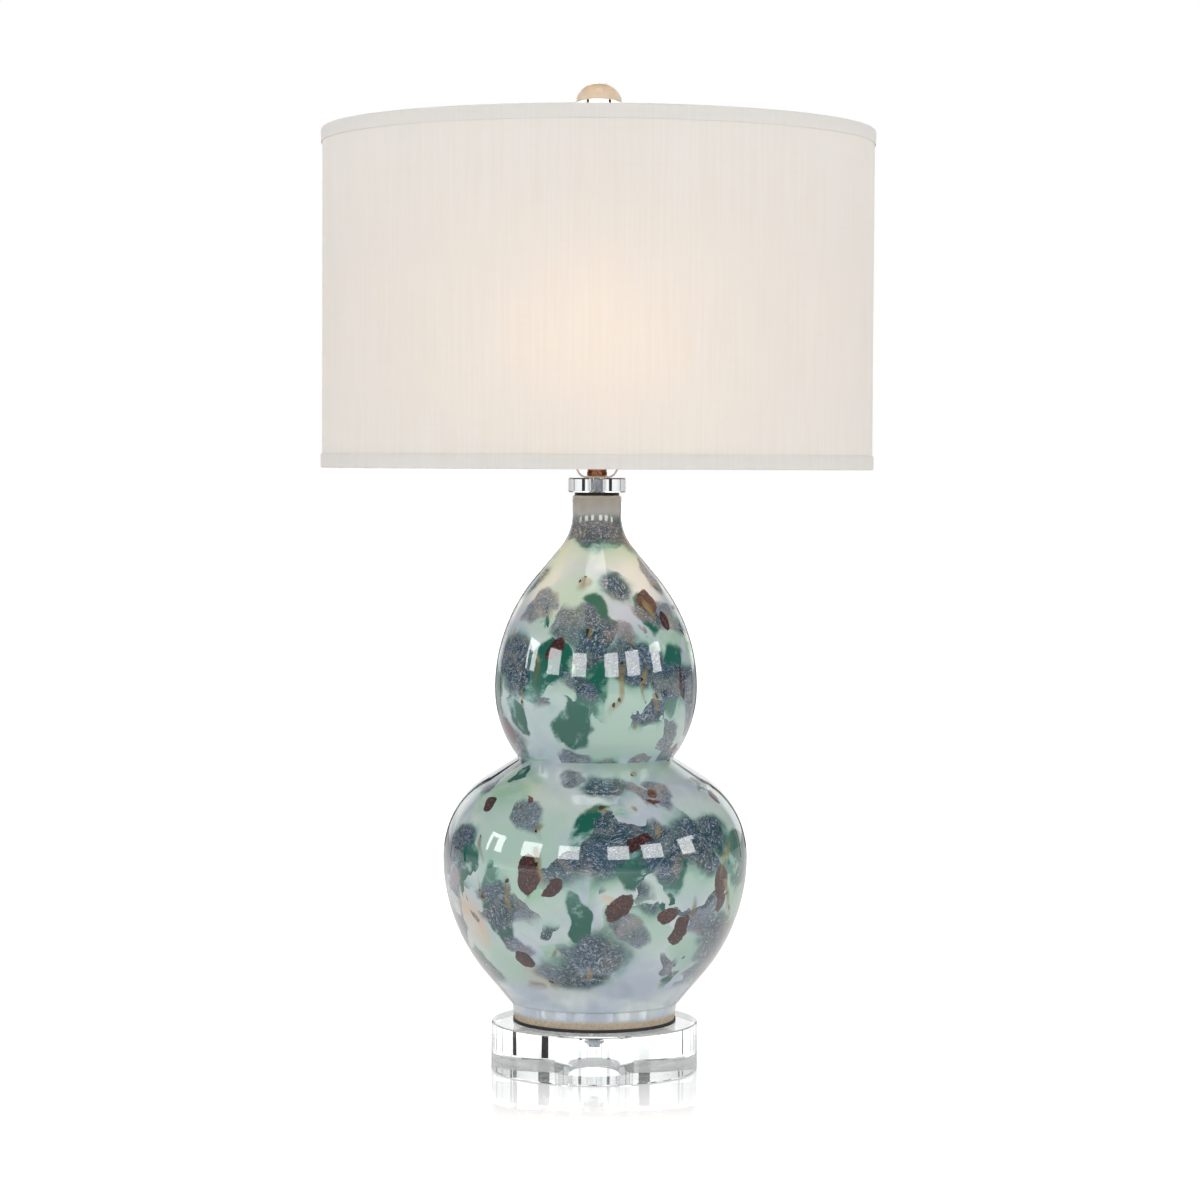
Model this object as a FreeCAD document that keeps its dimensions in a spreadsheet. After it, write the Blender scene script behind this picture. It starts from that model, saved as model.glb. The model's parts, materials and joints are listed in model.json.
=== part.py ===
import FreeCAD, Part
import math
import os
import re

import Sketcher

# A double gourd table lamp, in millimetres. The origin is the centre of the underside of the
# crystal base, +Z is up, the harp spreads along X, and the cord outlet is at the back, on +Y.

SIZES = {
    # crystal base, its underside recess and the pad under the vase
    "base_radius": 86.0,
    "base_height": 40.0,
    "base_roof": 10.0,
    "recess_radius": 22.0,
    "crystal_chamfer": 1.0,
    "gasket_radius": 68.0,
    "gasket_hole": 24.0,
    "gasket_height": 2.5,
    # lamp rod with its nuts
    "rod_radius": 5.0,
    "rod_bore": 3.3,
    "rod_tail": 3.0,
    "rod_grip": 7.0,
    "rod_clearance": 0.3,
    "thread_gap": 0.05,
    "nut_flats": 14.3,
    "nut_height": 4.0,
    "washer_radius": 12.7,
    "washer_height": 1.6,
    # vase: foot, lower bulb, waist, upper bulb and neck
    "vase_height": 436.5,
    "vase_wall": 6.0,
    "foot_radius": 67.0,
    "foot_height": 14.5,
    "foot_flare": 2.2,
    "foot_ring": 11.0,
    "foot_recess": 5.0,
    "floor_top": 15.0,
    "floor_hole": 8.0,
    "belly_radius": 126.9,
    "belly_height": 136.0,
    "belly_lower_arc": 150.6,
    "belly_lower_angle": 39.8,
    "belly_upper_arc": 78.8,
    "belly_upper_angle": 57.7,
    "waist_radius": 65.0,
    "bulb_radius": 84.4,
    "bulb_height": 276.5,
    "bulb_upper_arc": 145.0,
    "neck_angle": 40.2,
    "neck_arc": 42.0,
    "neck_radius": 20.4,
    "lip_radius": 1.8,
    # cord outlet
    "outlet_height": 27.0,
    "outlet_bore": 3.2,
    "outlet_barrel": 4.6,
    "outlet_flange": 6.6,
    "flange_height": 2.0,
    "outlet_clearance": 0.2,
    "barb_start": 0.6,
    "barb_end": 2.5,
    "barb_height": 0.8,
    # check ring and crystal disc on the neck
    "ring_radius": 18.6,
    "ring_height": 2.5,
    "ring_lip": 4.0,
    "lip_clearance": 0.3,
    "disc_radius": 24.0,
    "disc_height": 12.0,
    # harp saddle
    "saddle_sheet": 1.5,
    "saddle_width": 19.0,
    "saddle_flat": 9.0,
    "saddle_bend": 8.0,
    "saddle_angle": 60.0,
    "saddle_shoulder": 12.0,
    "saddle_height": 30.0,
    "arm_width": 10.0,
    "post_spread": 26.0,
    "post_height": 12.0,
    "post_root": 6.0,
    # harp, ferrules and swivel stud
    "wire_radius": 2.0,
    "harp_height": 279.0,
    "harp_leg": 24.0,
    "harp_spread": 54.0,
    "harp_lean": 24.0,
    "harp_lower_arc": 60.0,
    "harp_crown_arc": 44.0,
    "eye_radius": 7.0,
    "ferrule_radius": 3.6,
    "ferrule_height": 18.0,
    "ferrule_chamfer": 0.5,
    "slide_fit": 0.1,
    "pivot_radius": 3.0,
    "pivot_fit": 0.05,
    "stud_gap": 0.1,
    "stud_head": 5.0,
    "stud_head_height": 2.0,
    "collar_radius": 7.0,
    "collar_height": 3.0,
    "stud_radius": 3.1,
    "stud_height": 11.5,
    "stud_chamfer": 0.8,
    "head_chamfer": 1.0,
    # socket
    "hub_radius": 8.0,
    "hub_height": 8.0,
    "cap_radius": 17.0,
    "cap_rim": 8.0,
    "cap_sheet": 0.8,
    "screw_radius": 1.5,
    "screw_height": 4.0,
    "screw_proud": 1.2,
    "slot_half": 0.3,
    "slot_depth": 0.8,
    "terminal_shank": 5.0,
    "terminal_head": 1.8,
    "over_cut": 1.0,
    "shell_sheet": 0.5,
    "shell_height": 48.0,
    "liner_sheet": 0.7,
    "liner_drop": 2.0,
    "nest_gap": 0.05,
    "block_bottom": 14.0,
    "block_height": 20.0,
    "block_gap": 0.3,
    "pedestal_radius": 10.8,
    "pedestal_height": 2.0,
    "notch_width": 8.0,
    "notch_depth": 4.0,
    "notch_height": 10.0,
    "thread_radius": 13.2,
    "thread_sheet": 0.45,
    "thread_height": 26.0,
    "contact_half": 5.0,
    "contact_arc": 10.0,
    "contact_sheet": 0.4,
    "contact_width": 5.0,
    "contact_gap": 0.2,
    # switch
    "shaft_radius": 1.6,
    "shaft_root": 6.5,
    "shaft_play": 0.3,
    "shaft_height": 27.0,
    "shaft_window": 2.6,
    "knob_radius": 6.5,
    "knob_length": 12.0,
    "knob_start": 19.0,
    "knob_bore_depth": 9.0,
    "flute_radius": 1.1,
    # light bulb
    "button_radius": 4.5,
    "button_height": 1.6,
    "base_thread": 13.0,
    "base_cone": 3.4,
    "base_length": 26.0,
    "base_sheet": 0.6,
    "glass_neck": 12.2,
    "glass_start": 20.0,
    "glass_radius": 30.0,
    "glass_centre": 78.0,
    "glass_angle": 40.0,
    "glass_neck_arc": 25.0,
    "glass_wall": 1.0,
    # shade
    "shade_radius": 228.6,
    "shade_height": 279.0,
    "shade_recess": 7.5,
    "fabric_sheet": 0.6,
    "backing_sheet": 0.6,
    "trim_sheet": 0.6,
    "trim_band": 11.5,
    "trim_fold": 5.0,
    "glue_gap": 0.05,
    "ring_wire": 1.6,
    "ring_gap": 0.3,
    "spider_hub": 14.0,
    "spider_sheet": 1.5,
    "spider_wire": 1.4,
    "spider_bend": 195.0,
    "spider_hole": 3.4,
    # finial
    "finial_washer": 8.5,
    "finial_washer_height": 1.0,
    "finial_bore": 3.4,
    "finial_bore_depth": 10.0,
    "finial_flange": 8.0,
    "finial_rim": 1.2,
    "finial_waist": 5.4,
    "finial_height": 7.0,
    "finial_cup": 7.0,
    "spigot_radius": 4.6,
    "spigot_height": 6.5,
    "ball_radius": 20.0,
    "ball_seat": 18.8,
    "level_turn": 90.0,
    "flute_count": 12,
    "arm_count": 3,
}

doc = FreeCAD.newDocument("GourdLamp")
sheet = doc.addObject("Spreadsheet::Sheet", "Sizes")
for row, (alias, number) in enumerate(SIZES.items(), start=1):
    sheet.set(f"A{row}", alias)
    sheet.set(f"B{row}", str(number))
    sheet.setAlias(f"B{row}", alias)
doc.recompute()

V = FreeCAD.Vector
SUBPARTS = []


# ---- expressions ----

def bound(text):
    """The same expression as another object reads it: each size's name after the sheet's."""
    return re.sub(r"\b([a-z]+(?:_[a-z]+)+)\b", r"Sizes.\1", text)


def size(text):
    """The value of an expression, in millimetres or degrees."""
    return float(sheet.evalExpression(text))


# Heights of the seats, from the underside of the base up.
RECESS_TOP = "(base_height - base_roof)"
WASHER_Z = f"({RECESS_TOP} - washer_height)"
LOCKNUT_Z = f"({WASHER_Z} - nut_height)"
ROD_Z = f"({LOCKNUT_Z} - rod_tail)"
VASE_Z = "(base_height + gasket_height)"
MOUTH_Z = f"({VASE_Z} + vase_height)"
DISC_Z = f"({MOUTH_Z} + ring_height)"
SADDLE_Z = f"({DISC_Z} + disc_height)"
NUT_Z = f"({SADDLE_Z} + saddle_sheet)"
SOCKET_Z = f"({NUT_Z} + nut_height)"
POST_Z = f"({SADDLE_Z} + saddle_height + post_height)"
SEAT_Z = f"({SADDLE_Z} + harp_height)"
SHADE_TOP = f"({SEAT_Z} + shade_recess)"
SHADE_Z = f"({SHADE_TOP} - shade_height)"
FINIAL_Z = f"({SEAT_Z} + spider_sheet)"
COLLAR_Z = f"({FINIAL_Z} + finial_washer_height)"
BALL_Z = f"({COLLAR_Z} + finial_height)"
ROD_HOLE = "(rod_radius + rod_clearance)"


# ---- sketches and features ----

def new_body(name, x="0", y="0", z="0"):
    """A body whose origin stands at the expressions x, y and z."""
    body = doc.addObject("PartDesign::Body", name)
    body.Label = name
    for axis, text in (("x", x), ("y", y), ("z", z)):
        body.setExpression(f".Placement.Base.{axis}", bound(text))
    SUBPARTS.append(body)
    return body


def tilted_body(name, axis, angle, **place):
    """A body turned about one of its axes by the expression angle, in degrees."""
    body = new_body(name, **place)
    body.Placement = FreeCAD.Placement(V(), FreeCAD.Rotation(axis, size(angle)))
    body.setExpression(".Placement.Rotation.Angle", bound(angle))
    return body


def new_sketch(body, role, height="0"):
    """A sketch on one of the body's own origin planes, raised by the expression height."""
    plane = next(item for item in body.Origin.OriginFeatures if item.Role == role)
    sketch = body.newObject("Sketcher::SketchObject", f"{body.Name}_sketch")
    sketch.AttachmentSupport = (plane, "")
    sketch.MapMode = "FlatFace"
    if height != "0":
        sketch.setExpression("AttachmentOffset.Base.z", bound(height))
    return sketch


def bind(sketch, constraint, text):
    """Adds a constraint and ties its value to the expression."""
    index = sketch.addConstraint(constraint)
    sketch.setExpression(f"Constraints[{index}]", bound(text))


def arc_between(start, end, radius, side):
    """The minor arc from start to end; its centre is on the left or the right of the way."""
    way = end - start
    left = V(-way.y, way.x, 0).normalize()
    reach = math.sqrt(max(radius ** 2 - (way.Length / 2) ** 2, 0.0))
    centre = (start + end) * 0.5 + left * (reach if side == "left" else -reach)
    first, last = (start, end) if side == "left" else (end, start)
    angles = [math.atan2(point.y - centre.y, point.x - centre.x) for point in (first, last)]
    if angles[1] < angles[0]:
        angles[1] += 2 * math.pi
    return Part.ArcOfCircle(Part.Circle(centre, V(0, 0, 1), radius), *angles)


def draw(sketch, corners, closed=True):
    """Draws an outline through corners (x, y) or (x, y, radius, side).

    Every corner's place is bound to its two expressions. A corner with a radius starts an arc
    to the next corner; the others start a straight line.
    """
    points = [V(size(corner[0]), size(corner[1]), 0) for corner in corners]
    count = len(corners) if closed else len(corners) - 1
    ends = []
    for number in range(count):
        corner = corners[number]
        start = points[number]
        end = points[(number + 1) % len(points)]
        if len(corner) == 4:
            arc = arc_between(start, end, size(corner[2]), corner[3])
            edge = sketch.addGeometry(arc)
            ends.append((edge, 1, 2) if corner[3] == "left" else (edge, 2, 1))
            bind(sketch, Sketcher.Constraint("Radius", edge, size(corner[2])), corner[2])
        else:
            edge = sketch.addGeometry(Part.LineSegment(start, end))
            ends.append((edge, 1, 2))
    for number, (edge, head, _) in enumerate(ends):
        if closed or number:
            before, _, tail = ends[number - 1]
            sketch.addConstraint(Sketcher.Constraint("Coincident", before, tail, edge, head))
        pin(sketch, edge, head, corners[number])
    if not closed:
        edge, _, tail = ends[-1]
        pin(sketch, edge, tail, corners[-1])
    return sketch


def pin(sketch, edge, vertex, corner):
    """Ties a vertex of the sketch to the two expressions of its corner."""
    for kind, text in (("DistanceX", corner[0]), ("DistanceY", corner[1])):
        bind(sketch, Sketcher.Constraint(kind, edge, vertex, size(text)), text)


def circle(sketch, radius, x="0", y="0"):
    """Draws a circle round the expressions x and y."""
    shape = Part.Circle(V(size(x), size(y), 0), V(0, 0, 1), size(radius))
    edge = sketch.addGeometry(shape)
    bind(sketch, Sketcher.Constraint("Radius", edge, size(radius)), radius)
    pin(sketch, edge, 3, (x, y))
    return sketch


def revolve(body, sketch, kind="Revolution"):
    """Turns a sketch on the XZ plane about the body's Z axis."""
    feature = body.newObject(f"PartDesign::{kind}", f"{body.Name}_turn")
    feature.Profile = sketch
    feature.ReferenceAxis = (sketch, ["V_Axis"])
    feature.Angle = 360
    doc.recompute()
    return feature


def pad(body, sketch, length, both_ways=False):
    """Raises a sketch by the expression length, half to each side if both_ways."""
    feature = body.newObject("PartDesign::Pad", f"{body.Name}_pad")
    feature.Profile = sketch
    feature.SideType = "Symmetric" if both_ways else "One side"
    feature.setExpression("Length", bound(length))
    doc.recompute()
    return feature


def pocket(body, sketch, length, both_ways=False, up=False):
    """Cuts a sketch by the expression length, along its normal if up."""
    feature = body.newObject("PartDesign::Pocket", f"{body.Name}_cut")
    feature.Profile = sketch
    feature.SideType = "Symmetric" if both_ways else "One side"
    feature.Reversed = up
    feature.setExpression("Length", bound(length))
    doc.recompute()
    return feature


def polar(body, feature, count):
    """Repeats a feature round the body's Z axis."""
    pattern = body.newObject("PartDesign::PolarPattern", f"{body.Name}_pattern")
    pattern.Originals = [feature]
    pattern.Axis = (feature.Profile[0], ["N_Axis"])
    pattern.Angle = 360
    pattern.setExpression("Occurrences", bound(count))
    body.Tip = pattern
    doc.recompute()
    return pattern


def turned(name, corners, z="0"):
    """A sub-part turned about the lamp's axis."""
    body = new_body(name, z=z)
    revolve(body, draw(new_sketch(body, "XZ_Plane"), corners))
    return body


def tube(name, inner, outer, bottom, top, z="0"):
    """A plain tube or washer about the lamp's axis."""
    corners = [(inner, bottom), (outer, bottom), (outer, top), (inner, top)]
    return turned(name, corners, z)


# ---- crystal base, rod and nuts ----

def crystal_base():
    """The polished disc: a recess below, and a roof that the rod passes through."""
    turned("crystal_base", [
        ("recess_radius", "0"),
        ("base_radius - crystal_chamfer", "0"),
        ("base_radius", "crystal_chamfer"),
        ("base_radius", "base_height - crystal_chamfer"),
        ("base_radius - crystal_chamfer", "base_height"),
        (ROD_HOLE, "base_height"),
        (ROD_HOLE, RECESS_TOP),
        ("recess_radius", RECESS_TOP),
    ])


def hex_nut(name, z):
    """A hex nut on the rod, its corners turned off above and below."""
    body = new_body(name, z=z)
    corner = "nut_flats / 2 / cos(30)"
    outline = [(f"{corner} * cos({angle})", f"{corner} * sin({angle})")
               for angle in range(0, 360, 60)]
    pad(body, draw(new_sketch(body, "XY_Plane"), outline), "nut_height")
    bore = circle(new_sketch(body, "XY_Plane"), "rod_radius + thread_gap")
    pocket(body, bore, "nut_height", up=True)
    for low, high in (("0", "nut_height / 4"), ("nut_height", "nut_height * 3 / 4")):
        bevel = draw(new_sketch(body, "XZ_Plane"), [
            ("nut_flats / 2", low),
            ("nut_flats * 0.65", low),
            ("nut_flats * 0.65", high),
        ])
        revolve(body, bevel, "Groove")


def rod_and_washer():
    """The threaded pipe that holds base, vase and neck together, and its lower washer."""
    tube("threaded_rod", "rod_bore", "rod_radius", "0", f"{SOCKET_Z} + rod_grip - {ROD_Z}", ROD_Z)
    tube("base_washer", ROD_HOLE, "washer_radius", "0", "washer_height", WASHER_Z)


# ---- vase ----

def gourd(inset):
    """Corners of the double gourd from the foot's top to the neck, drawn in by inset.

    Each bulb is an arc about a centre at its widest height, with a tangent straight stretch
    below the lower bulb, between it and the waist, and between the upper bulb and the neck.
    """
    belly = f"(belly_radius - {inset})"
    bulb = f"(bulb_radius - {inset})"
    waist = f"(waist_radius - {inset})"
    neck = f"(neck_radius - {inset})"
    lower = f"(belly_lower_arc - {inset})"
    upper = f"(belly_upper_arc - {inset})"
    crown = f"(bulb_upper_arc - {inset})"
    throat = f"(neck_arc + {inset})"
    floor = "foot_height" if inset == "0" else "floor_top"

    low_r = f"({belly} - {lower} * (1 - cos(belly_lower_angle)))"
    low_z = f"(belly_height - {lower} * sin(belly_lower_angle))"
    foot_r = f"({low_r} - ({low_z} - {floor}) * tan(belly_lower_angle))"
    high_r = f"({belly} - {upper} * (1 - cos(belly_upper_angle)))"
    high_z = f"(belly_height + {upper} * sin(belly_upper_angle))"
    waist_z = f"({high_z} + ({high_r} - {waist}) / tan(belly_upper_angle))"
    rise = f"(bulb_height - {waist_z})"
    spread = f"({bulb} - {waist})"
    bulb_arc = f"({spread}^2 + {rise}^2) / (2 * {spread})"
    top_r = f"({bulb} - {crown} * (1 - cos(neck_angle)))"
    top_z = f"(bulb_height + {crown} * sin(neck_angle))"
    throat_r = f"({neck} + {throat} * (1 - cos(neck_angle)))"
    throat_z = f"({top_z} + ({top_r} - {throat_r}) / tan(neck_angle))"
    return [
        (foot_r, floor),
        (low_r, low_z, lower, "left"),
        (belly, "belly_height", upper, "left"),
        (high_r, high_z),
        (waist, waist_z, bulb_arc, "left"),
        (bulb, "bulb_height", crown, "left"),
        (top_r, top_z),
        (throat_r, throat_z, throat, "right"),
        (neck, f"({throat_z} + {throat} * sin(neck_angle))"),
    ]


def downward(corners):
    """The same stretch of outline walked the other way."""
    turned_round = []
    for number in range(len(corners) - 1, -1, -1):
        arc = corners[number - 1][2:] if number else ()
        if arc:
            arc = (arc[0], "right" if arc[1] == "left" else "left")
        turned_round.append(corners[number][:2] + tuple(arc))
    return turned_round


# The cord outlet is square to the lower bulb's cone, so it points out and down.
CONE_R = "(belly_radius - belly_lower_arc * (1 - cos(belly_lower_angle)))"
CONE_Z = "(belly_height - belly_lower_arc * sin(belly_lower_angle))"
OUTLET_Y = f"({CONE_R} - ({CONE_Z} - outlet_height) * tan(belly_lower_angle))"
OUTLET_TILT = "90 + belly_lower_angle"


def vase():
    """The thrown double gourd: a hollow shell on a foot ring, with a rod hole in its floor."""
    outside = gourd("0")
    inside = downward(gourd("vase_wall"))
    body = turned("vase", [
        ("floor_hole", "foot_recess"),
        ("foot_radius - foot_ring", "foot_recess"),
        ("foot_radius - foot_ring", "0"),
        ("foot_radius", "0"),
        ("foot_radius + foot_flare", "foot_height"),
        *outside,
        ("neck_radius", "vase_height - lip_radius", "lip_radius", "left"),
        ("neck_radius - lip_radius", "vase_height"),
        ("neck_radius - vase_wall", "vase_height"),
        *inside,
        ("floor_hole", "floor_top"),
    ], VASE_Z)
    hole = new_sketch(body, "XY_Plane")
    hole.AttachmentOffset = FreeCAD.Placement(
        V(), FreeCAD.Rotation(V(-1, 0, 0), size(OUTLET_TILT)))
    hole.setExpression("AttachmentOffset.Base.y", bound(OUTLET_Y))
    hole.setExpression("AttachmentOffset.Base.z", bound("outlet_height"))
    hole.setExpression("AttachmentOffset.Rotation.Angle", bound(OUTLET_TILT))
    circle(hole, "outlet_barrel + outlet_clearance")
    pocket(body, hole, "vase_wall * 3", both_ways=True)


def cord_bushing():
    """The flanged bushing in the outlet, with a barb behind the wall."""
    body = tilted_body("cord_bushing", V(-1, 0, 0), OUTLET_TILT,
                       y=OUTLET_Y, z=f"{VASE_Z} + outlet_height")
    revolve(body, draw(new_sketch(body, "XZ_Plane"), [
        ("outlet_bore", "-vase_wall - barb_end"),
        ("outlet_barrel", "-vase_wall - barb_end"),
        ("outlet_barrel + barb_height", "-vase_wall - barb_start"),
        ("outlet_barrel", "-vase_wall - barb_start"),
        ("outlet_barrel", "0"),
        ("outlet_flange", "0"),
        ("outlet_flange", "flange_height / 2"),
        ("outlet_flange - flange_height / 2", "flange_height"),
        ("outlet_bore", "flange_height"),
    ]))


# ---- neck ----

def neck_pieces():
    """The gasket, the check ring that closes the mouth, and the crystal disc on it."""
    tube("base_gasket", "gasket_hole", "gasket_radius", "0", "gasket_height", "base_height")
    turned("vase_check_ring", [
        (ROD_HOLE, "-ring_lip"),
        ("neck_radius - vase_wall - lip_clearance", "-ring_lip"),
        ("neck_radius - vase_wall - lip_clearance", "0"),
        ("ring_radius", "0"),
        ("ring_radius", "ring_height"),
        (ROD_HOLE, "ring_height"),
    ], MOUTH_Z)
    turned("neck_disc", [
        (ROD_HOLE, "0"),
        ("disc_radius - crystal_chamfer", "0"),
        ("disc_radius", "crystal_chamfer"),
        ("disc_radius", "disc_height - crystal_chamfer"),
        ("disc_radius - crystal_chamfer", "disc_height"),
        (ROD_HOLE, "disc_height"),
    ], DISC_Z)


# ---- harp ----

def mirrored(corners):
    """The outline's half on +X, then the same half on -X walked back."""
    half = [(f"-({corner[0]})",) + corner[1:] for corner in downward(corners)]
    return corners + [corner[:3] + (("left" if corner[3] == "right" else "right"),)
                      if len(corner) == 4 else corner for corner in half]


def harp_saddle():
    """A strip bent up on both sides, its arms narrowed and drawn out into two round posts."""
    body = new_body("harp_saddle", z=SADDLE_Z)
    outer = "(post_spread + saddle_sheet / 2)"
    slope_r = "(saddle_flat + saddle_bend * sin(saddle_angle))"
    slope_z = "(saddle_bend * (1 - cos(saddle_angle)))"
    elbow_r = f"({outer} - saddle_shoulder * (1 - sin(saddle_angle)))"
    elbow_z = f"({slope_z} + ({elbow_r} - {slope_r}) * tan(saddle_angle))"
    top_z = f"({elbow_z} + saddle_shoulder * cos(saddle_angle))"
    back = "saddle_sheet * sin(saddle_angle)"
    lift = "saddle_sheet * cos(saddle_angle)"
    strip = mirrored([
        ("saddle_flat", "0", "saddle_bend", "left"),
        (slope_r, slope_z),
        (elbow_r, elbow_z, "saddle_shoulder", "left"),
        (outer, top_z),
        (outer, "saddle_height"),
        (f"{outer} - saddle_sheet", "saddle_height"),
        (f"{outer} - saddle_sheet", top_z, "saddle_shoulder - saddle_sheet", "right"),
        (f"{elbow_r} - {back}", f"{elbow_z} + {lift}"),
        (f"{slope_r} - {back}", f"{slope_z} + {lift}", "saddle_bend - saddle_sheet", "right"),
        ("saddle_flat", "saddle_sheet"),
    ])
    pad(body, draw(new_sketch(body, "XZ_Plane"), strip), "saddle_width", both_ways=True)
    sides = new_sketch(body, "XY_Plane")
    for along in ("", "-"):
        for across in ("", "-"):
            draw(sides, [
                (f"{along}(saddle_flat + saddle_bend)", f"{across}(arm_width / 2)"),
                (f"{along}({outer} + 1)", f"{across}(arm_width / 2)"),
                (f"{along}({outer} + 1)", f"{across}(saddle_width / 2 + 1)"),
                (f"{along}(saddle_flat)", f"{across}(saddle_width / 2 + 1)"),
            ])
    pocket(body, sides, "saddle_height + 1", up=True)
    pocket(body, circle(new_sketch(body, "XY_Plane"), ROD_HOLE), "saddle_sheet", up=True)
    posts = new_sketch(body, "XY_Plane", "saddle_height - post_root")
    for side in ("", "-"):
        circle(posts, "wire_radius", f"{side}post_spread")
    pad(body, posts, "post_height + post_root")


def harp():
    """The wire loop: straight legs, a lean out and back, a round crown and an eye on top."""
    body = new_body("harp", z=POST_Z)
    top = f"({SEAT_Z} - collar_height - stud_gap - wire_radius - {POST_Z})"
    lean = "(1 - cos(harp_lean))"
    back_arc = f"((harp_spread - post_spread) / {lean} - harp_lower_arc)"
    first_r = f"(post_spread + harp_lower_arc * {lean})"
    first_z = "(harp_leg + harp_lower_arc * sin(harp_lean))"
    wide_z = f"({first_z} + {back_arc} * sin(harp_lean))"
    half = [
        ("post_spread", "0"),
        ("post_spread", "harp_leg", "harp_lower_arc", "right"),
        (first_r, first_z, back_arc, "left"),
        ("harp_spread", wide_z),
        ("harp_spread", f"{top} - harp_crown_arc", "harp_crown_arc", "left"),
        ("harp_spread - harp_crown_arc", top),
    ]
    path = draw(new_sketch(body, "XZ_Plane"), mirrored(half), closed=False)
    wire = circle(new_sketch(body, "XY_Plane"), "wire_radius", "post_spread")
    loop = body.newObject("PartDesign::AdditivePipe", "harp_loop")
    loop.Profile = wire
    loop.Spine = path
    doc.recompute()
    eye = circle(new_sketch(body, "XY_Plane", f"{top} - wire_radius"), "eye_radius")
    pad(body, eye, "wire_radius * 2")
    hole = circle(new_sketch(body, "XY_Plane", f"{top} - wire_radius"), "pivot_radius + pivot_fit")
    pocket(body, hole, "wire_radius * 2", up=True)


def ferrules():
    """The sleeves that lock the harp's feet on the saddle's posts."""
    for name, side in (("ferrule_right", ""), ("ferrule_left", "-")):
        body = new_body(name, x=f"{side}post_spread", z=f"{SADDLE_Z} + saddle_height")
        revolve(body, draw(new_sketch(body, "XZ_Plane"), [
            ("wire_radius + slide_fit", "0"),
            ("ferrule_radius - ferrule_chamfer", "0"),
            ("ferrule_radius", "ferrule_chamfer"),
            ("ferrule_radius", "ferrule_height - ferrule_chamfer"),
            ("ferrule_radius - ferrule_chamfer", "ferrule_height"),
            ("wire_radius + slide_fit", "ferrule_height"),
        ]))


def harp_stud():
    """The swivel stud: riveted in the harp's eye, with a collar that the shade rests on."""
    under = "(-collar_height - stud_gap * 2 - wire_radius * 2)"
    turned("harp_stud", [
        ("0", f"{under} - stud_head_height"),
        ("stud_head - head_chamfer", f"{under} - stud_head_height"),
        ("stud_head", f"{under} - stud_head_height + head_chamfer"),
        ("stud_head", under),
        ("pivot_radius", under),
        ("pivot_radius", "-collar_height"),
        ("collar_radius", "-collar_height"),
        ("collar_radius", "0"),
        ("stud_radius", "0"),
        ("stud_radius", "stud_height - stud_chamfer"),
        ("stud_radius - stud_chamfer", "stud_height"),
        ("0", "stud_height"),
    ], SEAT_Z)


# ---- socket ----

# Heights inside the socket, from the underside of its cap.
BOWL_Z = "(hub_height + cap_radius - hub_radius)"
SHELL_IN = "(cap_radius - cap_sheet - nest_gap - shell_sheet)"
LINER_OUT = f"({SHELL_IN} - nest_gap)"
BLOCK_R = f"({LINER_OUT} - liner_sheet - block_gap)"
BLOCK_TOP = "(block_bottom + block_height)"
CONTACT_Z = f"({BLOCK_TOP} + pedestal_height)"
CONTACT_RISE = "(contact_arc - sqrt(contact_arc^2 - contact_half^2))"
BULB_Z = f"({SOCKET_Z} + {CONTACT_Z} + {CONTACT_RISE} + contact_sheet + contact_gap)"


def side_window(body, height, radius):
    """Cuts a round window through one wall, on -Y."""
    pocket(body, circle(new_sketch(body, "XZ_Plane"), radius, "0", height),
           "cap_radius + 1", up=True)


def socket_cap():
    """The spun cap: a threaded hub, a bowl and a rim that grips the shell."""
    body = turned("socket_cap", [
        ("rod_radius + thread_gap", "0"),
        ("hub_radius", "0"),
        ("hub_radius", "hub_height", "cap_radius - hub_radius", "left"),
        ("cap_radius", BOWL_Z),
        ("cap_radius", f"{BOWL_Z} + cap_rim"),
        ("cap_radius - cap_sheet", f"{BOWL_Z} + cap_rim"),
        ("cap_radius - cap_sheet", BOWL_Z, "cap_radius - cap_sheet - hub_radius", "right"),
        ("hub_radius", "hub_height + cap_sheet"),
        ("rod_radius + thread_gap", "hub_height + cap_sheet"),
    ], SOCKET_Z)
    hole = circle(new_sketch(body, "XZ_Plane"), "screw_radius + thread_gap", "0", "screw_height")
    pocket(body, hole, "hub_radius + 1")


def cap_set_screw():
    """The slotted screw that keeps the cap from turning on the rod, at the back."""
    body = tilted_body("cap_set_screw", V(-1, 0, 0), "level_turn",
                       z=f"{SOCKET_Z} + screw_height")
    start = "rod_radius + thread_gap"
    end = "hub_radius + screw_proud"
    pad(body, circle(new_sketch(body, "XY_Plane", start), "screw_radius"), f"{end} - ({start})")
    slot = draw(new_sketch(body, "XY_Plane", end), [
        ("-screw_radius - over_cut", "-slot_half"),
        ("screw_radius + over_cut", "-slot_half"),
        ("screw_radius + over_cut", "slot_half"),
        ("-screw_radius - over_cut", "slot_half"),
    ])
    pocket(body, slot, "slot_depth")


def socket_shells():
    """The brass shell and the fibre liner inside it, both with a window for the switch."""
    shell_z = f"{SOCKET_Z} + {BOWL_Z} + 1"
    shell = tube("socket_shell", SHELL_IN, f"{SHELL_IN} + shell_sheet", "0", "shell_height", shell_z)
    window = f"shaft_height - {BOWL_Z} - 1"
    side_window(shell, window, "shaft_window")
    liner = tube("socket_insulator", f"{LINER_OUT} - liner_sheet", LINER_OUT,
                 "0", "shell_height - liner_drop", shell_z)
    side_window(liner, window, "shaft_window")


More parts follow.
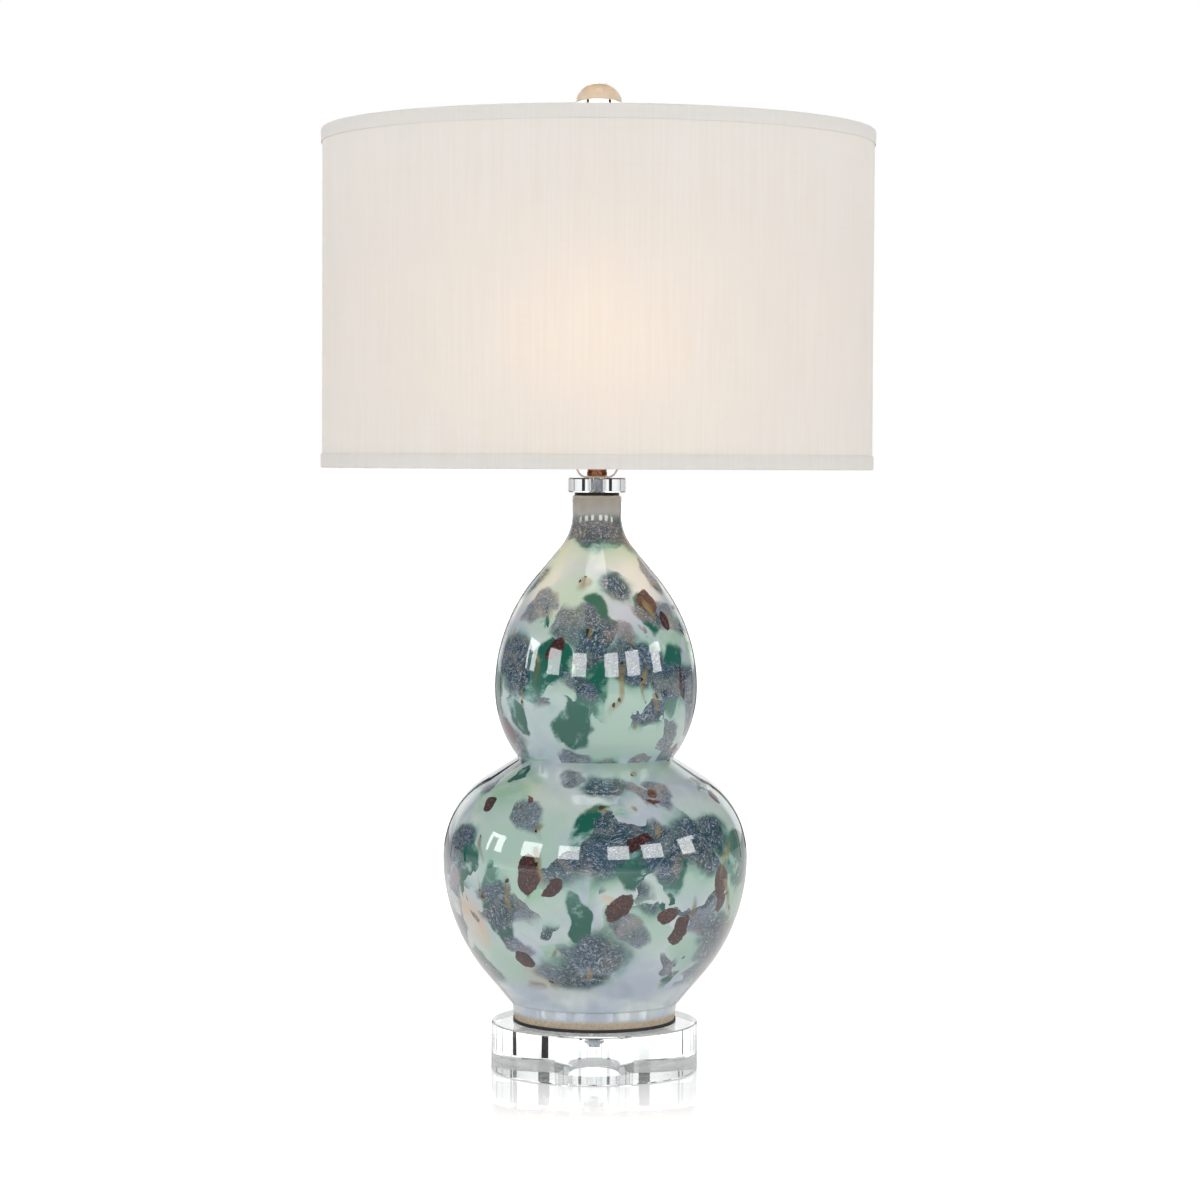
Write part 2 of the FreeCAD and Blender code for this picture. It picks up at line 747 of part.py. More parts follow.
def socket_body():
    """The moulded block: a pedestal on top, side notches for the terminals, the switch's bore."""
    body = turned("socket_body", [
        ("0", "block_bottom"),
        (f"{BLOCK_R} - 1.5", "block_bottom"),
        (BLOCK_R, "block_bottom + 1.5"),
        (BLOCK_R, BLOCK_TOP),
        ("pedestal_radius", BLOCK_TOP),
        ("pedestal_radius", CONTACT_Z),
        ("0", CONTACT_Z),
    ], SOCKET_Z)
    notch = new_sketch(body, "XY_Plane", "block_bottom")
    for side in ("", "-"):
        draw(notch, [
            (f"{side}({BLOCK_R} - notch_depth)", "-notch_width / 2"),
            (f"{side}({BLOCK_R} + 1)", "-notch_width / 2"),
            (f"{side}({BLOCK_R} + 1)", "notch_width / 2"),
            (f"{side}({BLOCK_R} - notch_depth)", "notch_width / 2"),
        ])
    pocket(body, notch, "notch_height", up=True)
    bore = circle(new_sketch(body, "XZ_Plane", "shaft_root"),
                  "shaft_radius + pivot_fit", "0", "shaft_height")
    pocket(body, bore, f"{BLOCK_R}", up=True)
    screw_hole = circle(new_sketch(body, "YZ_Plane", f"-{BLOCK_R}"),
                        "screw_radius + thread_gap", "0", "block_bottom + notch_height / 2")
    pocket(body, screw_hole, f"{BLOCK_R} * 2", up=True)


def terminal_screws():
    """Two slotted screws, one in each notch of the block."""
    body = new_body("terminal_screws", z=f"{SOCKET_Z} + block_bottom + notch_height / 2")
    face = f"({BLOCK_R} - notch_depth)"
    for turn, side in ((1, ""), (-1, "-")):
        shank = circle(new_sketch(body, "YZ_Plane", f"{side}({face} - terminal_shank)"), "screw_radius")
        head = circle(new_sketch(body, "YZ_Plane", f"{side}{face}"), "screw_radius * 2")
        for sketch, length in ((shank, "terminal_shank"), (head, "terminal_head")):
            feature = pad(body, sketch, length)
            feature.Reversed = turn < 0
    doc.recompute()
    for side in ("", "-"):
        slot = draw(new_sketch(body, "XY_Plane"), [
            (f"{side}({face} + terminal_head - slot_depth)", "-slot_half"),
            (f"{side}({face} + terminal_head + over_cut)", "-slot_half"),
            (f"{side}({face} + terminal_head + over_cut)", "slot_half"),
            (f"{side}({face} + terminal_head - slot_depth)", "slot_half"),
        ])
        pocket(body, slot, "screw_radius * 6", both_ways=True)


def bulb_seat():
    """The screw shell that the bulb turns into, and the sprung tab under its contact."""
    turned("screw_shell", [
        ("pedestal_radius + 0.2", "0"),
        ("thread_radius + thread_sheet", "0"),
        ("thread_radius + thread_sheet", "thread_height"),
        ("thread_radius", "thread_height"),
        ("thread_radius", "thread_sheet"),
        ("pedestal_radius + 0.2", "thread_sheet"),
    ], f"{SOCKET_Z} + {BLOCK_TOP}")
    tab = new_body("centre_contact", z=f"{SOCKET_Z} + {CONTACT_Z}")
    outline = draw(new_sketch(tab, "XZ_Plane"), [
        ("contact_half", "0"),
        ("contact_half", "contact_sheet", "contact_arc", "left"),
        ("-contact_half", "contact_sheet"),
        ("-contact_half", "0", "contact_arc", "right"),
    ])
    pad(tab, outline, "contact_width", both_ways=True)


def switch():
    """The switch's shaft and its fluted knob, both along -Y."""
    shaft = tilted_body("switch_shaft", V(1, 0, 0), "level_turn",
                        z=f"{SOCKET_Z} + shaft_height")
    start = "shaft_root + shaft_play"
    length = "knob_start + knob_bore_depth - shaft_root - shaft_play * 2"
    pad(shaft, circle(new_sketch(shaft, "XY_Plane", start), "shaft_radius"), length)
    knob = tilted_body("switch_knob", V(1, 0, 0), "level_turn",
                       z=f"{SOCKET_Z} + shaft_height")
    end = "(knob_start + knob_length)"
    revolve(knob, draw(new_sketch(knob, "XZ_Plane"), [
        ("shaft_radius + pivot_fit", "knob_start"),
        ("knob_radius - 1.5", "knob_start"),
        ("knob_radius", "knob_start + 1.5"),
        ("knob_radius", f"{end} - 2", "2", "left"),
        ("knob_radius - 2", end),
        ("0", end),
        ("0", "knob_start + knob_bore_depth"),
        ("shaft_radius + pivot_fit", "knob_start + knob_bore_depth"),
    ]))
    flute = circle(new_sketch(knob, "XY_Plane", "knob_start + 3"), "flute_radius", "knob_radius")
    polar(knob, pocket(knob, flute, "knob_length", up=True), "flute_count")


# ---- light bulb ----

def glass_wall(inset):
    """Corners of the bulb's glass from its neck up to the top, drawn in by inset."""
    ball = f"(glass_radius - {inset})"
    neck = f"(glass_neck - {inset})"
    throat = f"(glass_neck_arc + {inset})"
    side_r = f"({ball} * cos(glass_angle))"
    side_z = f"(glass_centre - {ball} * sin(glass_angle))"
    throat_r = f"({neck} + {throat} * (1 - cos(glass_angle)))"
    throat_z = f"({side_z} - ({side_r} - {throat_r}) / tan(glass_angle))"
    return [
        (neck, "glass_start"),
        (neck, f"({throat_z} - {throat} * sin(glass_angle))", throat, "right"),
        (throat_r, throat_z),
        (side_r, side_z, ball, "left"),
        ("0", f"(glass_centre + {ball})"),
    ]


def light_bulb():
    """The bulb: a contact button, a screw base and a hollow glass envelope."""
    turned("bulb_contact", [
        ("0", "0"),
        ("button_radius - 1", "0"),
        ("button_radius", "0.8"),
        ("button_radius", "button_height"),
        ("0", "button_height"),
    ], BULB_Z)
    rim = "(button_height + base_cone)"
    turned("bulb_base", [
        ("button_radius + 0.1", "button_height - base_sheet"),
        ("button_radius + 3", "button_height - base_sheet"),
        ("base_thread", rim),
        ("base_thread", "base_length"),
        ("base_thread - base_sheet", "base_length"),
        ("base_thread - base_sheet", f"{rim} + base_sheet / 2"),
        ("button_radius + 2.8", "button_height"),
        ("button_radius + 0.1", "button_height"),
    ], BULB_Z)
    outer = glass_wall("0")
    inner = downward(glass_wall("glass_wall"))
    turned("bulb_glass", outer + inner, BULB_Z)


# ---- shade ----

FABRIC_IN = "(shade_radius - fabric_sheet)"
BACKING_OUT = f"({FABRIC_IN} - glue_gap)"
BACKING_IN = f"({BACKING_OUT} - backing_sheet)"
FOLD_OUT = f"({BACKING_IN} - glue_gap)"
FOLD_IN = f"({FOLD_OUT} - trim_sheet)"
RING_R = f"({FOLD_IN} - glue_gap - ring_wire)"
RING_EDGE = "(trim_sheet + ring_gap + ring_wire)"


def shade_walls():
    """The stiff backing and the fabric that is laminated to it."""
    walls = (("shade_liner", BACKING_IN, BACKING_OUT), ("shade_fabric", FABRIC_IN, "shade_radius"))
    for name, inner, outer in walls:
        tube(name, inner, outer, "trim_sheet", "shade_height - trim_sheet", SHADE_Z)


def shade_trims():
    """The folded tapes over the two edges: a band outside and a short fold inside."""
    outside = "(shade_radius + glue_gap)"
    face = f"({outside} + trim_sheet)"
    for name, z, up in (("shade_bottom_trim", SHADE_Z, ""), ("shade_top_trim", SHADE_TOP, "-")):
        turned(name, [
            (outside, f"{up}(trim_sheet)"),
            (outside, f"{up}(trim_band)"),
            (face, f"{up}(trim_band)"),
            (face, "0"),
            (FOLD_IN, "0"),
            (FOLD_IN, f"{up}(trim_fold)"),
            (FOLD_OUT, f"{up}(trim_fold)"),
            (FOLD_OUT, f"{up}(trim_sheet)"),
        ], z)


def wire_ring(body, height):
    """A ring of round wire that stiffens one edge of the shade."""
    revolve(body, circle(new_sketch(body, "XZ_Plane"), "ring_wire", RING_R, height))


def shade_frame():
    """The lower ring, and the spider: upper ring, three arms and the hub over the stud."""
    lower = new_body("shade_bottom_ring", z=SHADE_Z)
    wire_ring(lower, RING_EDGE)
    body = new_body("shade_spider", z=SEAT_Z)
    ring_z = f"(shade_recess - {RING_EDGE})"
    middle = "(spider_sheet / 2)"
    run = f"({RING_R} - spider_bend)"
    climb = f"({ring_z} - {middle})"
    wire_ring(body, ring_z)
    path = draw(new_sketch(body, "YZ_Plane"), [
        ("-(spider_hub - 3)", middle),
        ("-spider_bend", middle, f"({run}^2 + {climb}^2) / (2 * {climb})", "right"),
        (f"-{RING_R}", ring_z),
    ], closed=False)
    section = circle(new_sketch(body, "XZ_Plane", "spider_hub - 3"), "spider_wire", "0", middle)
    arm = body.newObject("PartDesign::AdditivePipe", "spider_arm")
    arm.Profile = section
    arm.Spine = path
    doc.recompute()
    pattern = body.newObject("PartDesign::PolarPattern", "spider_arms")
    pattern.Originals = [arm]
    pattern.Axis = (path, ["V_Axis"])
    pattern.Angle = 360
    pattern.setExpression("Occurrences", bound("arm_count"))
    body.Tip = pattern
    doc.recompute()
    pad(body, circle(new_sketch(body, "XY_Plane"), "spider_hub"), "spider_sheet")
    pocket(body, circle(new_sketch(body, "XY_Plane"), "spider_hole"), "spider_sheet", up=True)


# ---- finial ----

def finial():
    """The loose washer, the turned metal seat with its spigot, and the crystal ball."""
    tube("finial_washer", "spider_hole", "finial_washer", "0", "finial_washer_height", FINIAL_Z)
    turned("finial_base", [
        ("finial_bore", "0"),
        ("finial_flange", "0"),
        ("finial_flange", "finial_rim"),
        ("finial_waist", "finial_height / 2"),
        ("finial_cup", "finial_height - finial_rim"),
        ("finial_cup", "finial_height"),
        ("spigot_radius", "finial_height"),
        ("spigot_radius", "finial_height + spigot_height"),
        ("0", "finial_height + spigot_height"),
        ("0", "finial_bore_depth"),
        ("finial_bore", "finial_bore_depth"),
    ], COLLAR_Z)
    hole = "(spigot_radius + thread_gap)"
    turned("finial_ball", [
        (hole, "0"),
        ("sqrt(ball_radius^2 - ball_seat^2)", "0", "ball_radius", "left"),
        ("0", "ball_seat + ball_radius"),
        ("0", "spigot_height + 0.3"),
        (hole, "spigot_height + 0.3"),
    ], BALL_Z)


# ---- checks and files ----

def check_document():
    """Stops at a failed object, a broken shape, or a cut that removes nothing."""
    for item in doc.Objects:
        if "Invalid" in item.State or "Error" in item.State:
            raise RuntimeError(f"{item.Name} failed: {item.State}")
        if item.TypeId in ("PartDesign::Pocket", "PartDesign::Groove"):
            if item.Shape.Volume >= item.BaseFeature.Shape.Volume:
                raise RuntimeError(f"{item.Name} cuts nothing")
    for body in SUBPARTS:
        if body.Shape.isNull() or not body.Shape.isValid():
            raise RuntimeError(f"{body.Label} has no valid shape")


def write_files():
    os.makedirs("parts", exist_ok=True)
    for body in SUBPARTS:
        body.Shape.exportStep(f"parts/{body.Label}.step")
        print(f"{body.Label}: {len(body.Shape.Solids)} solid, {body.Shape.Volume:.0f} mm3")


for make in (crystal_base, rod_and_washer, neck_pieces, vase, cord_bushing, harp_saddle, harp,
             ferrules, harp_stud, socket_cap, cap_set_screw, socket_shells, socket_body,
             terminal_screws, bulb_seat, switch, light_bulb, shade_walls, shade_trims,
             shade_frame, finial):
    make()
for nut, height in (("base_locknut", LOCKNUT_Z), ("saddle_nut", NUT_Z)):
    hex_nut(nut, height)
doc.recompute()
check_document()
write_files()
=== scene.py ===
"""Double gourd table lamp: its materials, its cloth shade, and the studio that it stands in."""

import json
import math

import bmesh
import bpy
from mathutils import Matrix, Vector


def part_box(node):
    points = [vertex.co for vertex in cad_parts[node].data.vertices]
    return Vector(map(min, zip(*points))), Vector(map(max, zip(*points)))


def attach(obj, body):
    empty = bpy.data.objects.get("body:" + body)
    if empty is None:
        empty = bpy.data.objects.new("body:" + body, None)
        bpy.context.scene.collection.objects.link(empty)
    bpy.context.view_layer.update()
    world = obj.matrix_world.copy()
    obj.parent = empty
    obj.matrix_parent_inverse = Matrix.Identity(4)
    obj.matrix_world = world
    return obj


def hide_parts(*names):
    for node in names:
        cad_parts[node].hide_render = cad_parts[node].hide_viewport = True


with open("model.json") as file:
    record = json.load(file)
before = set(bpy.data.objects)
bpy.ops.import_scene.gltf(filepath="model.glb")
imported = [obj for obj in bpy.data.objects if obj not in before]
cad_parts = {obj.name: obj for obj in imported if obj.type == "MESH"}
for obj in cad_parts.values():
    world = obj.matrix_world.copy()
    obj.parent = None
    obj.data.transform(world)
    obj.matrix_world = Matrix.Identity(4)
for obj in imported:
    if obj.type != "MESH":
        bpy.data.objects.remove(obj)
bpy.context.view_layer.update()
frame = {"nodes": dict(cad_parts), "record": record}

MM = 0.001
TURN = 2 * math.pi
NOISE_LOW = 0.3
NOISE_HIGH = 0.7

# ---------------------------------------------------------------------------------------------
# Colours and shader nodes
# ---------------------------------------------------------------------------------------------


def srgb(red, green, blue):
    """A display colour, 0 to 255 a channel, as the linear colour that shaders take."""
    linear = []
    for channel in (red, green, blue):
        value = channel / 255
        linear.append(value / 12.92 if value <= 0.04045 else ((value + 0.055) / 1.055) ** 2.4)
    return (*linear, 1.0)


class Material:
    """A material under construction, with a short call for each kind of node that is used here."""

    def __init__(self, name):
        self.material = bpy.data.materials.new(name)
        self.material.use_nodes = True
        self.tree = self.material.node_tree
        self.tree.nodes.clear()
        self.output = self.tree.nodes.new("ShaderNodeOutputMaterial")

    def node(self, kind, inputs=None, **settings):
        """A new node. inputs maps a socket's name or number to a value or to another output."""
        node = self.tree.nodes.new("ShaderNode" + kind)
        for key, value in settings.items():
            setattr(node, key, value)
        for socket, value in (inputs or {}).items():
            if isinstance(value, bpy.types.NodeSocket):
                self.tree.links.new(value, node.inputs[socket])
            else:
                node.inputs[socket].default_value = value
        return node

    def place(self):
        """The point on the object, in metres."""
        return self.node("TexCoord").outputs["Object"]

    def scaled(self, vector, scale):
        return self.node("Mapping", {"Vector": vector, "Scale": scale}).outputs["Vector"]

    def noise(self, vector, scale, detail=3.0, roughness=0.5, distortion=0.0):
        """A noise node. Its Fac runs from about 0.25 to 0.75, with features 1 / scale across."""
        return self.node("TexNoise", {
            "Vector": vector, "Scale": scale, "Detail": detail,
            "Roughness": roughness, "Distortion": distortion,
        })

    def math(self, operation, first, second=0.0, clamp=False):
        return self.node("Math", {0: first, 1: second}, operation=operation,
                         use_clamp=clamp).outputs[0]

    def ramp(self, value, low, high, bottom=0.0, top=1.0):
        """value from low to high, as a smooth step from bottom to top."""
        return self.node("MapRange", {
            "Value": value, "From Min": low, "From Max": high, "To Min": bottom, "To Max": top,
        }, interpolation_type="SMOOTHSTEP").outputs["Result"]

    def drift(self, value, bottom=0.0, top=1.0):
        """Noise over its usual range, as a smooth step from bottom to top."""
        return self.ramp(value, NOISE_LOW, NOISE_HIGH, bottom, top)

    def mix(self, factor, first, second):
        """The colour first where factor is 0, and second where it is 1."""
        return self.node("Mix", {0: factor, 6: first, 7: second}, data_type="RGBA").outputs[2]

    def bump(self, height, strength, distance):
        return self.node("Bump", {"Height": height, "Strength": strength,
                                  "Distance": distance}).outputs["Normal"]

    def finish(self, shader):
        self.tree.links.new(shader.outputs[0], self.output.inputs["Surface"])
        return self.material


# ---------------------------------------------------------------------------------------------
# The finishes of the hard pieces
# ---------------------------------------------------------------------------------------------

GLASS_IOR = 1.5
CRYSTAL_HAZE = (0.006, 0.012)
METAL_RELIEF = 0.1 * MM
BULB_COLOUR = srgb(255, 200, 136)
BULB_NECK = 24.0
BULB_MIDDLE = 50.0
FROST_ROUGHNESS = (0.35, 0.5)


def crystal():
    """Polished optical crystal, with the faintest trace of polishing."""
    build = Material("crystal")
    polish = build.noise(build.place(), 60.0, detail=4.0)
    haze = build.ramp(polish.outputs["Fac"], 0.35, 0.75, *CRYSTAL_HAZE)
    return build.finish(build.node("BsdfPrincipled", {
        "Base Color": srgb(250, 253, 253), "Roughness": haze, "IOR": GLASS_IOR,
        "Transmission Weight": 1.0,
    }))


def metal(name, colour, dull, roughness, grain):
    """A metal whose colour and roughness drift between two values with the grain's size."""
    build = Material(name)
    drift = build.noise(build.place(), 1 / grain, detail=5.0).outputs["Fac"]
    amount = build.drift(drift)
    low, high = roughness
    return build.finish(build.node("BsdfPrincipled", {
        "Base Color": build.mix(amount, colour, dull), "Metallic": 1.0,
        "Roughness": build.drift(drift, low, high),
        "Normal": build.bump(drift, 0.05, METAL_RELIEF),
    }))


def moulded(name, colour, shade, roughness, grain, relief=0.05 * MM):
    """Rubber, plastic, fibre or porcelain: a mottled colour with a fine grain."""
    build = Material(name)
    drift = build.noise(build.place(), 1 / grain, detail=6.0).outputs["Fac"]
    low, high = roughness
    return build.finish(build.node("BsdfPrincipled", {
        "Base Color": build.mix(build.drift(drift), colour, shade),
        "Roughness": build.drift(drift, low, high),
        "Normal": build.bump(drift, 0.3, relief),
    }))


def lit_bulb():
    """A frosted bulb, switched on: brighter round its middle than at its neck."""
    build = Material("bulb_glass")
    height = build.node("SeparateXYZ", {"Vector": build.place()}).outputs["Z"]
    frost = build.noise(build.place(), 400.0).outputs["Fac"]
    low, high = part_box("bulb_glass")
    strength = build.ramp(height, low[2], (low[2] + high[2]) / 2, BULB_NECK, BULB_MIDDLE)
    return build.finish(build.node("BsdfPrincipled", {
        "Base Color": srgb(250, 246, 238), "Roughness": build.drift(frost, *FROST_ROUGHNESS),
        "Emission Color": BULB_COLOUR, "Emission Strength": strength,
    }))


# ---------------------------------------------------------------------------------------------
# The glaze
# ---------------------------------------------------------------------------------------------

CROWD_SCALE = 11.0
DOT_SPACING = 0.0085

# How a drawing surface is pushed about: the scale of the noise, and how far it pushes.
FLOW = (17.0, 0.045)
RAGGED_WIDE = (22.0, 0.042)
RAGGED_FINE = (120.0, 0.007)
OVAL_WOBBLE = (60.0, 0.010)

# Layers of dabs: spacing, half length, half width, softness, share, seed and range of slant.
DABS = {
    "wash": (0.105, 0.085, 0.062, 0.75, 0.80, 0.7),
    "green": (0.080, 0.050, 0.032, 0.65, 0.52, 1.3),
    "peach": (0.065, 0.032, 0.018, 0.7, 0.42, 2.1),
    "stroke": (0.066, 0.052, 0.021, 0.25, 0.52, 3.7),
    "patch_rim": (0.064, 0.056, 0.033, 0.60, 0.55, 5.9, (0.3, 0.7)),
    "patch": (0.064, 0.042, 0.022, 0.35, 0.55, 5.9, (0.3, 0.7)),
    "sprig": (0.050, 0.038, 0.016, 0.35, 0.50, 6.1, (0.2, 0.8)),
    "oval": (0.050, 0.016, 0.0095, 0.5, 0.46, 7.7),
    "run": (0.048, 0.040, 0.0045, 0.7, 0.50, 8.9, (-0.08, 0.08)),
}

PAINT_LOW = 0.080
PAINT_HIGH = 0.462
PAINT_FADE = 6 * MM
GROUND_PALE = srgb(204, 214, 216)
GROUND_BLUE = srgb(178, 191, 206)
GROUND_SPECK = srgb(160, 160, 165)
WASH_CELADON = srgb(172, 200, 188)
WASH_GREEN = srgb(134, 188, 146)
WASH_PEACH = srgb(205, 186, 164)
STROKE_TEAL = srgb(74, 152, 136)
STROKE_DEEP = srgb(8, 92, 78)
SLATE_BLUE = srgb(10, 28, 52)
SLATE_GREY = srgb(58, 76, 104)
SLATE_TAN = srgb(122, 112, 112)
CRACKLE_WHITE = srgb(196, 204, 214)
MAROON_DARK = srgb(48, 22, 26)
MAROON_LIGHT = srgb(112, 72, 68)
OCHRE = srgb(150, 132, 88)
OCHRE_DARK = srgb(112, 100, 62)
DOT_BLACK = srgb(30, 36, 28)
NECK_GREY = srgb(172, 172, 164)
CLAY_LIGHT = srgb(200, 186, 164)
CLAY_DARK = srgb(176, 158, 132)

VASE_LOW, VASE_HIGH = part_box("vase")
FOOT_BARE_TOP = VASE_LOW[2] + 3.5 * MM
FOOT_BARE_FADE = 5 * MM
# The crease near the foot. The thin grey line drawn along it is painted shade.
CREASE = VASE_LOW[2] + 14.5 * MM
CREASE_HALF = 0.4 * MM
CREASE_FADE = 1.2 * MM
CREASE_SHADE_GREY = srgb(104, 116, 112)
NECK_GREY_FROM = VASE_HIGH[2] - 30 * MM
NECK_GREY_TO = VASE_HIGH[2] - 4 * MM


def warped(build, vector, scale, amount):
    """vector, pushed about by up to amount so that what is drawn on it flows."""
    noise = build.noise(vector, scale, detail=2.0).outputs["Color"]
    centred = build.node("VectorMath", {0: noise, 1: (0.5, 0.5, 0.5)}, operation="SUBTRACT")
    pushed = build.node("VectorMath", {0: centred.outputs[0], "Scale": amount},
                        operation="SCALE")
    return build.node("VectorMath", {0: vector, 1: pushed.outputs[0]},
                      operation="ADD").outputs[0]


def dabs(build, canvas, spacing, length, width, softness, share, seed, turn=(0.0, 1.0)):
    """Oval dabs scattered in cells of that spacing, all round the vase. length and width are
    their half sizes, softness is how much of each is edge, and share says how much of the
    design's crowded places they fill. turn is the range of their slant, in half turns from
    upright. Returns how much covers a point, and that with the paint's load along each dab."""
    moved = build.node("VectorMath", {0: canvas, 1: (seed, 2 * seed, 3 * seed)},
                       operation="ADD").outputs[0]
    cells = build.node("TexVoronoi", {"Vector": moved, "Scale": 1 / spacing})
    chance = build.node("SeparateColor", {"Color": cells.outputs["Color"]})
    centre = cells.outputs["Position"]
    out = build.node("NewGeometry").outputs["Normal"]
    away = build.node("VectorMath", {0: moved, 1: centre}, operation="SUBTRACT").outputs[0]
    through = build.node("VectorMath", {0: away, 1: out}, operation="PROJECT").outputs[0]
    flat = build.node("VectorMath", {0: away, 1: through}, operation="SUBTRACT").outputs[0]
    slant = build.ramp(chance.outputs["Red"], 0.0, 1.0, turn[0] * math.pi, turn[1] * math.pi)
    turned = build.node("VectorRotate", {"Vector": flat, "Axis": out, "Angle": slant}).outputs[0]
    along = build.node("VectorMath", {0: turned, 1: (0.0, 0.0, 1.0)},
                       operation="DOT_PRODUCT").outputs["Value"]
    span = build.node("VectorMath", {0: flat}, operation="LENGTH").outputs["Value"]
    long_part = build.math("DIVIDE", along, length)
    across = build.math("SUBTRACT", build.math("POWER", span, 2.0),
                        build.math("POWER", build.math("ABSOLUTE", along), 2.0))
    short_part = build.math("DIVIDE", build.math("SQRT", across), width)
    reach = build.math("SQRT", build.math("ADD", build.math("MULTIPLY", long_part, long_part),
                                          build.math("MULTIPLY", short_part, short_part)))
    sized = build.math("DIVIDE", reach, build.ramp(chance.outputs["Green"], 0.0, 1.0, 0.7, 1.15))
    crowd = build.noise(centre, CROWD_SCALE, detail=0.0).outputs["Fac"]
    kept = build.math("LESS_THAN", build.math("SUBTRACT", 1.0, crowd), share)
    cover = build.math("MULTIPLY", build.ramp(sized, 1.0 - softness, 1.0, 1.0, 0.0), kept)
    load = build.math("MULTIPLY", cover, build.ramp(long_part, -1.0, 1.0, 0.35, 1.0))
    return cover, load


def band(build, height, low, high, fade):
    """1 from low to high up the vase, fading out over fade at both ends."""
    rise = build.ramp(height, low - fade, low + fade)
    fall = build.ramp(height, high - fade, high + fade, 1.0, 0.0)
    return build.math("MULTIPLY", rise, fall)


def either(build, first, second):
    """Two layers of dabs as one."""
    return [build.math("MAXIMUM", one, other) for one, other in zip(first, second)]


def glaze():
    """A clear gloss over soft washes, green strokes, grey crystalline patches, brown granular
    ovals and ochre runs, laid at random over a pale blue-grey ground."""
    build = Material("glaze")
    place = build.place()
    height = build.node("SeparateXYZ", {"Vector": place}).outputs["Z"]
    flowing = warped(build, place, *FLOW)
    ragged = warped(build, warped(build, place, *RAGGED_WIDE), *RAGGED_FINE)
    fine = build.noise(place, 900.0, detail=4.0, roughness=0.7).outputs["Fac"]
    grain = build.noise(place, 360.0, detail=6.0, roughness=0.8).outputs["Fac"]
    cloud = build.noise(flowing, 60.0, detail=4.0, roughness=0.6).outputs["Fac"]
    pooling = build.noise(flowing, 26.0, detail=3.0).outputs["Fac"]

    washes, _ = dabs(build, flowing, *DABS["wash"])
    greens, green_load = dabs(build, flowing, *DABS["green"])
    peaches, _ = dabs(build, flowing, *DABS["peach"])
    painted = band(build, height, PAINT_LOW, PAINT_HIGH, PAINT_FADE)
    strokes, stroke_load = either(
        build, dabs(build, ragged, *DABS["stroke"]), dabs(build, ragged, *DABS["patch_rim"]))
    slates, _ = either(
        build, dabs(build, ragged, *DABS["patch"]), dabs(build, ragged, *DABS["sprig"]))
    ovals, _ = dabs(build, warped(build, place, *OVAL_WOBBLE), *DABS["oval"])
    runs, _ = dabs(build, flowing, *DABS["run"])
    bristle = build.noise(build.scaled(ragged, (1.0, 1.0, 2.2)), 170.0, detail=5.0,
                          roughness=0.75, distortion=2.5).outputs["Fac"]

    ground = build.mix(build.ramp(pooling, 0.35, 0.65), GROUND_PALE, GROUND_BLUE)
    colour = build.mix(build.ramp(fine, 0.66, 0.74, 0.0, 0.10), ground, GROUND_SPECK)
    thin = build.ramp(cloud, 0.32, 0.60, 0.35, 1.0)
    film = build.math("MULTIPLY", painted, thin)
    colour = build.mix(build.math("MULTIPLY", washes, painted), colour, WASH_CELADON)
    colour = build.mix(build.math("MULTIPLY", green_load, film), colour, WASH_GREEN)
    colour = build.mix(build.math("MULTIPLY", peaches, film), colour, WASH_PEACH)

    teal = build.mix(build.ramp(build.math("MULTIPLY", stroke_load, thin), 0.10, 0.45),
                     STROKE_TEAL, STROKE_DEEP)
    depth = build.ramp(stroke_load, 0.0, 0.7, 0.45, 1.0)
    cover = build.math("MULTIPLY", build.math("MULTIPLY", strokes, depth),
                       build.ramp(cloud, 0.30, 0.48, 0.35, 1.0))
    colour = build.mix(build.math("MULTIPLY", cover, painted), colour, teal)

    feather = build.math("MULTIPLY", slates, build.ramp(bristle, 0.34, 0.58, 0.40, 1.0))
    slate = build.mix(build.ramp(build.math("MULTIPLY", cloud, bristle), 0.18, 0.30),
                      SLATE_BLUE, SLATE_GREY)
    slate = build.mix(build.ramp(pooling, 0.54, 0.68), slate, SLATE_TAN)
    colour = build.mix(build.math("MULTIPLY", feather, painted), colour, slate)
    frost = build.math("MULTIPLY", build.ramp(grain, 0.36, 0.56), build.ramp(bristle, 0.50, 0.60))
    crackle = build.math("MULTIPLY", build.math("MULTIPLY", slates, frost), 0.7)
    colour = build.mix(build.math("MULTIPLY", crackle, painted), colour, CRACKLE_WHITE)

    oval = build.mix(build.ramp(grain, 0.46, 0.66), MAROON_DARK, MAROON_LIGHT)
    solid = build.math("MULTIPLY", build.ramp(build.math("ADD", ovals, grain), 0.72, 0.90),
                       build.ramp(grain, 0.34, 0.44, 0.6, 1.0))
    colour = build.mix(build.math("MULTIPLY", solid, painted), colour, oval)

    run = build.mix(build.ramp(cloud, 0.4, 0.6), OCHRE, OCHRE_DARK)
    trail = build.math("MULTIPLY", runs, painted)
    colour = build.mix(build.math("MULTIPLY", trail, 0.7), colour, run)
    cells = build.node("TexVoronoi", {"Vector": ragged, "Scale": 1 / DOT_SPACING})
    dots = build.ramp(cells.outputs["Distance"], 0.20, 0.30, 1.0, 0.0)
    colour = build.mix(build.math("MULTIPLY", build.ramp(trail, 0.05, 0.3), dots),
                       colour, DOT_BLACK)

    neck = build.ramp(height, NECK_GREY_FROM, NECK_GREY_TO)
    colour = build.mix(build.math("MULTIPLY", neck, 0.75), colour, NECK_GREY)
    # Painted shade: a thin grey line darkens the crease near the foot.
    crease_shade = band(build, height, CREASE - CREASE_HALF, CREASE + CREASE_HALF, CREASE_FADE)
    colour = build.mix(build.math("MULTIPLY", crease_shade, 0.55), colour, CREASE_SHADE_GREY)
    bare = build.ramp(height, FOOT_BARE_TOP, FOOT_BARE_TOP + FOOT_BARE_FADE, 1.0, 0.0)
    clay = build.mix(build.ramp(grain, 0.35, 0.65), CLAY_LIGHT, CLAY_DARK)
    colour = build.mix(bare, colour, clay)

